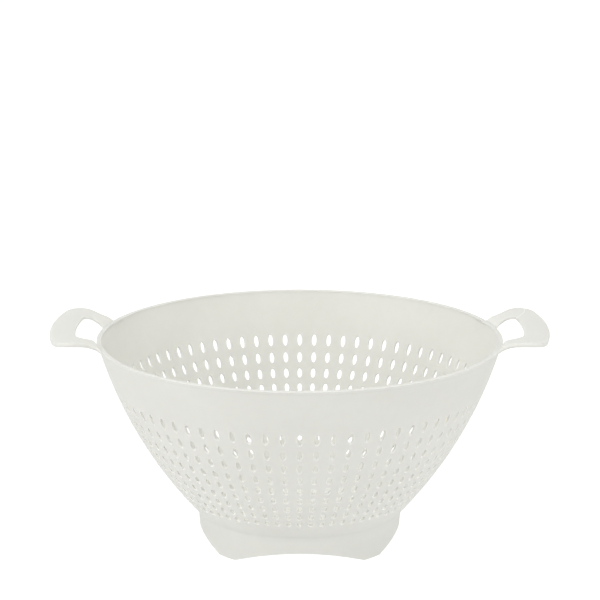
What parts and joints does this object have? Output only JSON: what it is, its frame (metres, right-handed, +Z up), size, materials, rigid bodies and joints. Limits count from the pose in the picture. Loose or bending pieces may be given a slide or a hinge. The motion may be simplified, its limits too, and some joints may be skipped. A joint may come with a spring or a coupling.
{
  "type": "colander",
  "caption": "Deep plastic colander with a slotted bowl, a flat rim, domed loop handles and an arched foot ring.",
  "frame": {"origin": "on the table, under the middle of the bowl", "axes": "+Z up along the bowl's axis, +X towards the right handle, -Y towards the front arch of the foot ring"},
  "size_m": [0.319, 0.26, 0.1419],
  "materials": {
    "white_plastic": "satin warm white polypropylene"
  },
  "bodies": {
    "root": {"upper_wall": "white_plastic", "lower_wall": "white_plastic", "bowl_floor": "white_plastic", "rim": "white_plastic", "foot_ring": "white_plastic", "right_handle": "white_plastic", "left_handle": "white_plastic"}
  },
  "joints": []
}
